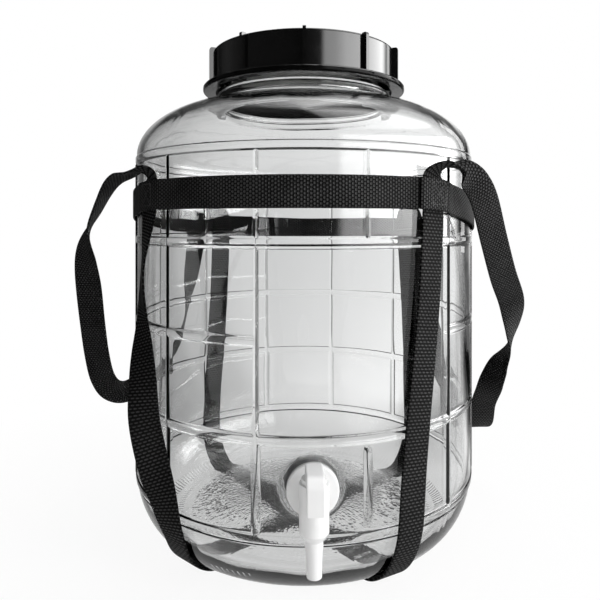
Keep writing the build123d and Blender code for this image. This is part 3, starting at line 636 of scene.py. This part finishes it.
LEFT_STATIONS = [
    (FRONT_LEFT, SEWN, HANDLE_END, level(FRONT_LEFT)), (FRONT_LEFT, SEWN, HANDLE_CLEAR, level(FRONT_LEFT)),
    (-55, SEWN + 0.062, 0.075, (0.5, -0.85, 0)), (-58, 0.225, 0.08, (0.15, -0.97, -0.1)),
    (-63, 0.325, 0.07, (-0.05, -0.98, 0.15)), (-68.5, 0.463, 0.04, (-0.05, -0.98, 0.08)),
    (-73, 0.6, -0.01, (0, -1, 0.05)), (-77.5, 0.775, -0.085, (0.1, -1, 0)),
    (-80.5, 0.9, -0.15, (0.5, -0.8, 0)), (-83.7, 0.975, -0.235, (0.85, -0.4, 0)),
    (-87.1, 0.975, -0.355, (1, 0, 0)), (-90.5, 0.975, -0.5, (1, 0, 0)),
    (-93.9, 0.975, -0.635, (1, 0, 0.1)), (-97.2, 0.95, -0.74, (0.9, 0, 0.4)),
    (-101, 0.85, -0.805, (0.6, 0.1, 0.75)), (-107, 0.7, -0.825, (0.2, 0.2, 0.95)),
    (-116, 0.55, -0.775, (0.5, 0.3, 0.8)), (-124, 0.412, -0.675, (0.35, 0.8, 0.45)),
    (-128.5, 0.35, -0.525, (-0.05, 0.97, 0.2)), (-131.5, 0.325, -0.3, (0.65, 0.7, 0)),
    (-135, 0.325, -0.09, (0.87, 0.4, 0)), (-139, 0.275, -0.03, level(BACK_LEFT)),
    (-142, 0.175, -0.022, level(BACK_LEFT)), (BACK_LEFT, SEWN, BACK_CLEAR, level(BACK_LEFT)),
    (BACK_LEFT, SEWN, BACK_END, level(BACK_LEFT))]


def handle(name, places, per=8):
    """A carrying loop through (azimuth, standoff, rise, width direction) places, as in the CAD."""
    spots = catmull([polar(JAR_R + off * HANDLE_OUT, a, BELT_Z + rise * HANDLE_DROP)
                     for a, off, rise, _ in places], per)
    sides = catmull([Vector(side) for *_, side in places], per)
    return strip("web_" + name, list(zip(spots, sides)), name)


handle("handle_right", RIGHT_STATIONS)
handle("handle_left", LEFT_STATIONS)


STITCH, THREAD_HALF = 2.6 * MM, 0.42 * MM
# A stitch's rings along it (place, width, height), and its section (across, height)
STITCH_RINGS = ((-1.0, 0.35, -0.1), (-0.7, 0.8, 0.25), (0, 1, 0.45), (0.7, 0.8, 0.25), (1.0, 0.35, -0.1))
STITCH_SECTION = ((-1, 0), (-0.6, 0.75), (0, 1), (0.6, 0.75), (1, 0))


def stitches(name, azimuth, rise, radius, lines):
    """Sewing on the belt's face: rows of short raised threads along (across, height) lines."""
    verts, faces = [], []
    for (x0, z0), (x1, z1) in lines:
        length = math.hypot(x1 - x0, z1 - z0)
        along = Vector(((x1 - x0) / length, (z1 - z0) / length))
        aside = Vector((-along.y, along.x))
        count = max(1, round(length / STITCH))
        for k in range(count):
            middle = Vector((x0, z0)) + along * (k + 0.5) * length / count
            ring = []
            for s, w, h in STITCH_RINGS:
                for c, lift in STITCH_SECTION:
                    flat = middle + along * (s * 0.42 * STITCH) + aside * (c * w * THREAD_HALF)
                    out = radius + (h * lift - 0.1) * MM
                    ring.append(polar(out, azimuth + math.degrees(flat.x / radius), BELT_Z + rise + flat.y))
            base = len(verts)
            verts += ring
            faces += [(base + i * 5 + j, base + i * 5 + j + 1, base + i * 5 + j + 6, base + i * 5 + j + 5)
                      for i in range(4) for j in range(4)]
    return piece(name, verts, faces, THREAD_BLACK)


def box_and_cross(half_w, half_h):
    corners = [(-half_w, -half_h), (half_w, -half_h), (half_w, half_h), (-half_w, half_h)]
    box = list(zip(corners, corners[1:] + corners[:1]))
    return box + [(corners[0], corners[2]), (corners[1], corners[3])]


SEWING = box_and_cross(6.6 * MM, 7.2 * MM)

FACE_R = BELT_R + WEB_T
stitches("stitch_front_right", FRONT_RIGHT, 0, FACE_R + WEB_T, SEWING)
stitches("stitch_front_left", FRONT_LEFT, 0, FACE_R, SEWING)
stitches("stitch_back_right", BACK_RIGHT, -BELT_DROP, FACE_R, SEWING)
stitches("stitch_back_left", BACK_LEFT, -0.87 * BELT_DROP, FACE_R, SEWING)


# ---- Lid and spigot: CAD nodes with their own materials ----
def dress(material, *names):
    for name in names:
        obj = nodes[name]
        obj.data.materials.clear()
        obj.data.materials.append(material)


dress(LID_BLACK, "lid")
dress(SEAL_PAINTED_SHADE, "lid_seal")
dress(TAP_WHITE, "tap_body", "tap_plug", "tap_nut")
dress(RUBBER, "tap_outer_washer", "tap_inner_washer")


# ---- Studio ----
# Greys of the room round the jar, by share of a turn: behind the camera, left, ahead (0.5), right
ROOM = [(0.0, 0.004), (0.2, 0.006), (0.37, 0.02), (0.40, 0.08), (0.43, 0.37), (0.467, 0.52), (0.478, 0.67),
        (0.489, 0.76), (0.5, 0.79), (0.512, 0.85), (0.524, 0.88), (0.55, 0.98), (0.57, 0.98), (0.59, 0.5),
        (0.61, 0.05), (0.66, 0.05), (0.69, 1.0), (0.76, 1.0), (0.8, 0.8), (0.86, 0.75), (0.9, 0.5),
        (0.935, 0.45), (0.95, 0.02), (1.0, 0.004)]
# The same by height: straight down (0), level (0.5), straight up (1)
ROOM_TALL = [(0.0, 0.5), (0.4, 0.8), (0.5, 0.95), (0.57, 1.0), (0.665, 1.0), (0.69, 0.14),
             (0.78, 0.14), (0.81, 0.42), (1.0, 0.42)]


def studio_world():
    """White to the camera; to glass and gloss, a pale room with dark flags between four bright sides."""
    world = bpy.data.worlds.new("studio")
    bpy.context.scene.world = world
    n = Nodes(world)
    n.tree.nodes.clear()
    rays = n.add("LightPath").outputs
    x, y, z = n.add("SeparateXYZ", {0: n.add("TexCoord").outputs["Generated"]}).outputs
    around = n.ramp(n.turn(x, y), *ROOM)
    tall = n.ramp(n.math("MULTIPLY_ADD", z, 0.5, 0.5), *ROOM_TALL)
    walls = n.add("Mix", {0: 1.0, 6: around, 7: tall}, data_type="RGBA", blend_type="MULTIPLY")
    behind = n.add("MapRange", {0: y, 1: 0.3, 2: 0.6, 3: 6.0, 4: 0.0})
    gloss = n.math("MULTIPLY_ADD", rays["Is Glossy Ray"], behind.outputs[0], 1.0)
    side = n.add("MapRange", {0: x, 1: -1.0, 2: 1.0, 3: 0.12, 4: 0.85})
    soft = n.add("Background", {0: (0.95, 0.95, 0.95, 1), 1: side.outputs[0]})
    room = n.add("Background", {0: walls.outputs[2], 1: gloss})
    white = n.add("Background", {0: (1, 1, 1, 1), 1: 1.0})
    seen = n.either(rays["Is Glossy Ray"], rays["Is Transmission Ray"])
    inner = n.add("MixShader", {0: seen, 1: soft.outputs[0], 2: room.outputs[0]})
    outer = n.add("MixShader", {0: rays["Is Camera Ray"], 1: inner.outputs[0], 2: white.outputs[0]})
    n.add("OutputWorld", {0: outer.outputs[0]})


studio_world()


def floor_material():
    """White to the camera with a soft shadow; through glass and in gloss it glows with painted light: the
    room's greys, and a flat grey near the jar as a painted shadow.
    """
    n = Nodes(bpy.data.materials.new("floor"))
    rays = n.add("LightPath").outputs
    n.tree.nodes.remove(n.shader)
    matt = n.add("BsdfDiffuse", {"Color": (0.9, 0.9, 0.9, 1)})
    white = n.add("Emission", {"Color": (1, 1, 1, 1), "Strength": 1.0})
    x, y, _ = n.add("SeparateXYZ", {0: n.place()}).outputs
    away = n.math("SQRT", n.math("ADD", n.math("MULTIPLY", x, x), n.math("MULTIPLY", y, y)))
    room = n.ramp(n.turn(x, y), *ROOM)
    # Near the jar the floor glows a flat 0.67 grey to glass and gloss: a painted shadow under the jar.
    near = n.add("MapRange", {0: away, 1: 0.13, 2: 0.32, 3: 0.0, 4: 1.0}).outputs[0]
    grey = n.add("Mix", {0: near, 6: (0.67, 0.67, 0.67, 1), 7: room}, data_type="RGBA")
    ahead = n.add("Emission", {"Color": grey.outputs[2]})
    looks = n.add("MixShader", {0: rays["Is Camera Ray"], 1: ahead.outputs[0], 2: white.outputs[0]})
    fade = n.add("MapRange", {0: away, 1: 0.14, 2: 0.4, 3: 0.92, 4: 1.0}).outputs[0]
    through = n.math("MULTIPLY", n.either(rays["Is Glossy Ray"], rays["Is Transmission Ray"]), 0.9)
    seen = n.math("MULTIPLY_ADD", rays["Is Camera Ray"], fade, through)
    mix = n.add("MixShader", {0: seen, 1: matt.outputs[0], 2: looks.outputs[0]})
    n.tree.links.new(mix.outputs[0], n.tree.nodes["Material Output"].inputs[0])
    return n.owner


bpy.ops.mesh.primitive_plane_add(size=12, location=(0, 0, 0))
floor = bpy.context.object
floor.name = "floor"
floor.data.materials.append(floor_material())


def softbox(name, place, target, width, height, watts, mirrored=False):
    lamp = bpy.data.lights.new(name, "AREA")
    lamp.shape, lamp.size, lamp.size_y, lamp.energy = "RECTANGLE", width, height, watts
    obj = bpy.data.objects.new(name, lamp)
    bpy.context.collection.objects.link(obj)
    obj.location = place
    obj.rotation_mode = "QUATERNION"
    obj.rotation_quaternion = (Vector(target) - Vector(place)).to_track_quat("-Z", "Y")
    obj.visible_glossy = mirrored
    obj.visible_transmission = False
    return obj


softbox("key_right", (1.0, -0.75, 0.75), (0, 0, 0.2), 0.5, 0.9, 13)
softbox("fill_left", (-1.1, -0.5, 0.5), (0, 0, 0.2), 0.3, 0.9, 1.5)
softbox("top", (0.3, 0.1, 1.4), (0, 0, 0.2), 0.7, 0.7, 5)
softbox("rim_right", (0.95, 0.62, 0.55), (0, 0, 0.33), 0.16, 0.8, 0.7, mirrored=True)

# ---- Camera, at the photograph's place ----
EYE_DISTANCE, EYE_Z, EYE_AZIMUTH = 0.4767, 0.2317, -2.3
FOCAL_PX, FRAME_PX = 588.7, 600
AXIS_X, HORIZON_Y = 303.7, 223.5
camera_data = bpy.data.cameras.new("camera")
camera_data.sensor_width = 36
camera_data.lens = FOCAL_PX / FRAME_PX * 36
camera_data.shift_x = (FRAME_PX / 2 - AXIS_X) / FRAME_PX
camera_data.shift_y = -(FRAME_PX / 2 - HORIZON_Y) / FRAME_PX
camera = bpy.data.objects.new("camera", camera_data)
bpy.context.collection.objects.link(camera)
camera.location = polar(EYE_DISTANCE, EYE_AZIMUTH, EYE_Z)
camera.rotation_euler = (math.pi / 2, 0, math.radians(EYE_AZIMUTH))
camera_data.clip_start = 0.01
bpy.context.scene.camera = camera
bpy.context.scene.view_settings.view_transform = "Standard"
